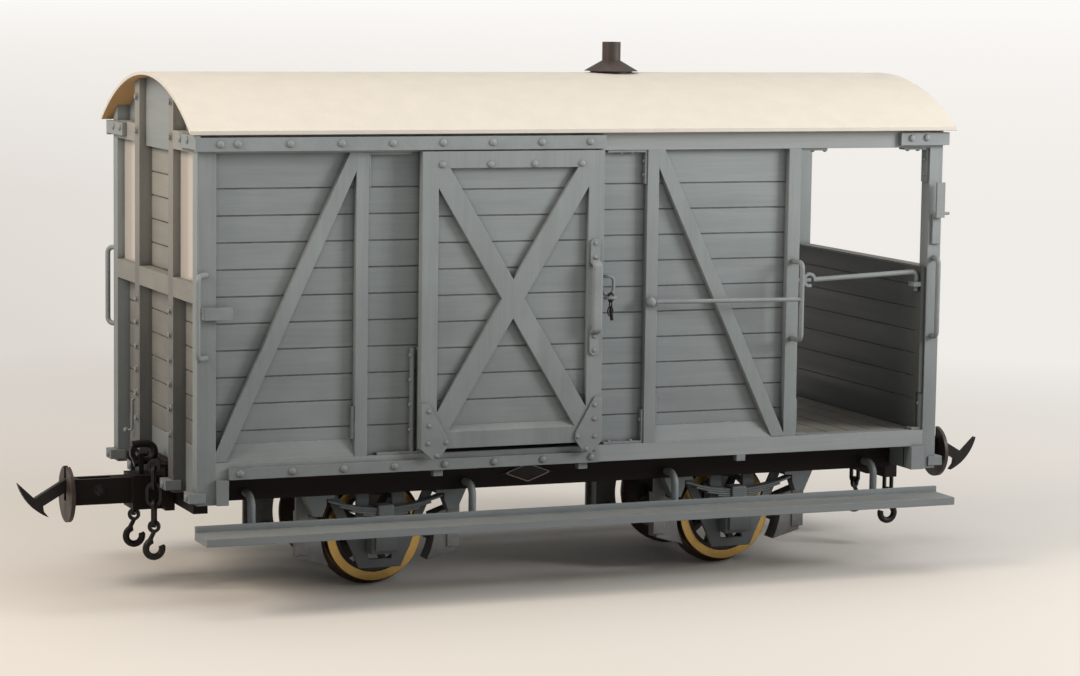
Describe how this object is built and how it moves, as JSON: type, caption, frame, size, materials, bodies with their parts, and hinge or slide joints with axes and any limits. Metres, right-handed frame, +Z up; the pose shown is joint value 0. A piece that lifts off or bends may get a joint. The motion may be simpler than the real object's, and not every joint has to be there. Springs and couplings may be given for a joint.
{
  "type": "model brake van",
  "caption": "Model narrow-gauge brake van with a planked cabin, sliding side doors, an open verandah, chopper couplings and sprung spoked wheels.",
  "frame": {"origin": "middle of the van between the wheel flanges' lowest points, on the plane that the flanges touch", "axes": "+X along the van towards the verandah, +Y across it towards the far side, +Z up"},
  "size_m": [0.269, 0.098, 0.1359],
  "materials": {
    "painted_timber": "grey-blue paint, satin, lightly dusty",
    "painted_fittings": "grey-blue paint, satin",
    "brown_underframe": "dark brown, matt",
    "grey_running_gear": "light grey-blue, matt",
    "blackened_iron": "black, slightly worn",
    "cream_roof": "cream paint above, bare plywood below",
    "window_glass": "clear sheet",
    "wheel_black": "black, satin",
    "brass_tyre": "bright turned rim"
  },
  "bodies": {
    "van_body": {"floor": "painted_timber", "sills": "painted_timber", "cantrails": "painted_timber", "corner_posts": "painted_timber", "side_posts": "painted_timber", "side_braces": "painted_timber", "weather_fillets": "painted_timber", "side_boards": "painted_timber", "headstocks": "painted_timber", "end_posts": "painted_timber", "end_rails": "painted_timber", "end_boards": "painted_timber", "gables": "painted_timber", "partition_panels": "painted_timber", "partition_head": "painted_timber", "footboards": "painted_timber", "door_tracks": "painted_fittings", "door_rails": "painted_fittings", "door_stops": "painted_fittings", "corner_knees": "painted_fittings", "corner_straps": "painted_fittings", "handrails": "painted_fittings", "gate_bars": "painted_fittings", "lamp_irons": "painted_fittings", "sill_cleats": "painted_fittings", "footboard_hangers": "painted_fittings", "post_feet": "painted_fittings", "solebars": "brown_underframe", "cross_members": "brown_underframe", "coupling_plates": "brown_underframe", "drawbars": "brown_underframe", "chimney": "brown_underframe", "axleguards": "grey_running_gear", "axleboxes": "grey_running_gear", "leaf_springs": "grey_running_gear", "spring_brackets": "grey_running_gear", "brake_blocks": "grey_running_gear", "brake_beams": "grey_running_gear", "buffer_discs": "blackened_iron", "side_chains": "blackened_iron", "shackles": "blackened_iron", "blank_plates": "blackened_iron", "brake_column": "blackened_iron", "roof": "cream_roof", "end_windows": "window_glass"},
    "near_sliding_door": {"near_door_frame": "painted_timber", "near_door_boards": "painted_timber", "near_door_irons": "painted_fittings"},
    "far_sliding_door": {"far_door_frame": "painted_timber", "far_door_boards": "painted_timber", "far_door_irons": "painted_fittings"},
    "verandah_door": {"partition_door": "painted_timber"},
    "left_chopper_hook": {"left_chopper": "blackened_iron"},
    "right_chopper_hook": {"right_chopper": "blackened_iron"},
    "left_wheels": {"left_wheelset": "wheel_black", "left_tyres": "brass_tyre"},
    "right_wheels": {"right_wheelset": "wheel_black", "right_tyres": "brass_tyre"}
  },
  "joints": [
    {"name": "near_door_slide", "type": "slide", "parent": "van_body", "child": "near_sliding_door", "axis": [-1, 0, 0], "range_m": [0, 0.0472]},
    {"name": "far_door_slide", "type": "slide", "parent": "van_body", "child": "far_sliding_door", "axis": [-1, 0, 0], "range_m": [0, 0.0472]},
    {"name": "verandah_door_hinge", "type": "hinge", "parent": "van_body", "child": "verandah_door", "pos_m": [0.0596, -0.00935, 0.0681], "axis": [0, 0, -1], "range_deg": [0, 90]},
    {"name": "left_hook_lift", "type": "hinge", "parent": "van_body", "child": "left_chopper_hook", "pos_m": [-0.1137, 0, 0.0246], "axis": [0, 1, 0], "range_deg": [0, 45]},
    {"name": "right_hook_lift", "type": "hinge", "parent": "van_body", "child": "right_chopper_hook", "pos_m": [0.1137, 0, 0.0246], "axis": [0, -1, 0], "range_deg": [0, 45]},
    {"name": "left_wheels_turn", "type": "hinge", "parent": "van_body", "child": "left_wheels", "pos_m": [-0.0485, 0, 0.014], "axis": [0, 1, 0], "continuous": true},
    {"name": "right_wheels_turn", "type": "hinge", "parent": "van_body", "child": "right_wheels", "pos_m": [0.0485, 0, 0.014], "axis": [0, 1, 0], "continuous": true}
  ]
}
